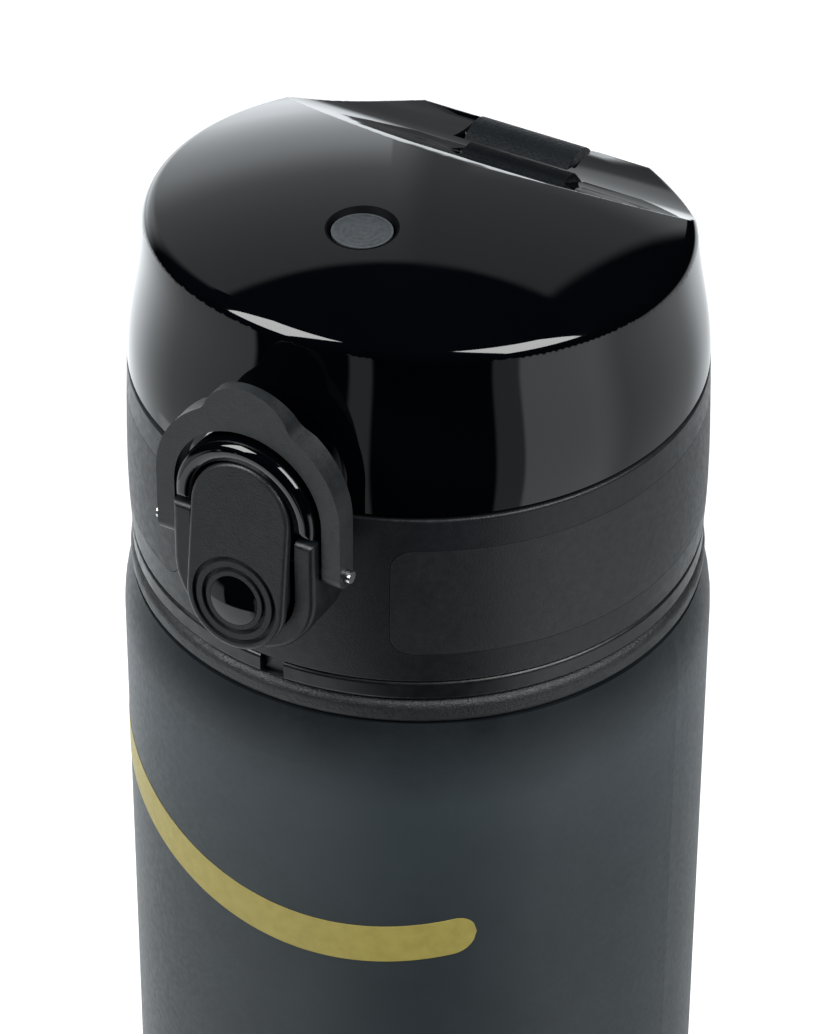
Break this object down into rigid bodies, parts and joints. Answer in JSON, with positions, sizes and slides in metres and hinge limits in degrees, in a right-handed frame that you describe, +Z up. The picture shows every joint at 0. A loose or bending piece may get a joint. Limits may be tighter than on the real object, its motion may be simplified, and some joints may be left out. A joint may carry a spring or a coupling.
{
  "type": "flip-top drinking bottle",
  "caption": "Sports drinking bottle with a frosted straight body, a screw-on collar and a sprung flip lid held by a press button and a swinging lock ring.",
  "frame": {"origin": "centre of the foot, on the surface that the bottle stands on", "axes": "+Z up the bottle; -Y towards the latch, +Y towards the lid hinge, +X along the hinge"},
  "size_m": [0.0724, 0.08, 0.2315],
  "materials": {
    "frosted_body": "satin frosted dark grey",
    "grained_black": "fine grained matt",
    "silicone": "satin silicone",
    "matte_black": "fine matt texture",
    "soft_black": "soft-touch matt",
    "spout_plastic": "satin",
    "gloss_black": "high gloss",
    "liner_plastic": "satin",
    "steel": "plain drawn wire",
    "button_black": "fine matt texture"
  },
  "bodies": {
    "bottle": {"bottle_body": "frosted_body", "neck_ring": "grained_black"},
    "gasket": {"cap_gasket": "silicone"},
    "cap": {"collar_insert": "matte_black", "collar_shell": "matte_black", "grip_band": "soft_black", "mouthpiece": "spout_plastic", "mouthpiece_seal": "silicone", "vent_valve": "silicone", "latch_pin": "steel", "button_spring": "steel"},
    "lid": {"lid_shell": "gloss_black", "lid_liner": "liner_plastic", "spout_seal": "silicone", "hinge_pin": "steel", "hinge_spring": "steel"},
    "button": {"latch_button": "button_black", "button_dome": "gloss_black"},
    "ring": {"lock_ring": "button_black"}
  },
  "joints": [
    {"name": "cap_lift", "type": "slide", "parent": "bottle", "child": "gasket", "axis": [0, 0, 1], "range_m": [0, 0.009]},
    {"name": "cap_turn", "type": "hinge", "parent": "gasket", "child": "cap", "pos_m": [0, 0, 0.19], "axis": [0, 0, 1], "range_deg": [0, 540]},
    {"name": "lid_flip", "type": "hinge", "parent": "cap", "child": "lid", "pos_m": [0, 0.0265, 0.2178], "axis": [-1, 0, 0], "range_deg": [0, 145], "deforming": ["hinge_spring"]},
    {"name": "button_press", "type": "hinge", "parent": "cap", "child": "button", "pos_m": [0, -0.0382, 0.2021], "axis": [1, 0, 0], "range_deg": [0, 6], "stiffness_Nm_per_rad": 0.06, "springref_deg": -8.59, "deforming": ["button_spring"]},
    {"name": "lock_ring_swing", "type": "hinge", "parent": "cap", "child": "ring", "pos_m": [0, -0.0382, 0.2021], "axis": [1, 0, 0], "range_deg": [0, 150]}
  ],
  "couplings": [
    {"joint": "cap_lift", "follows": "cap_turn", "m_per_rad": 0.00095493}
  ]
}
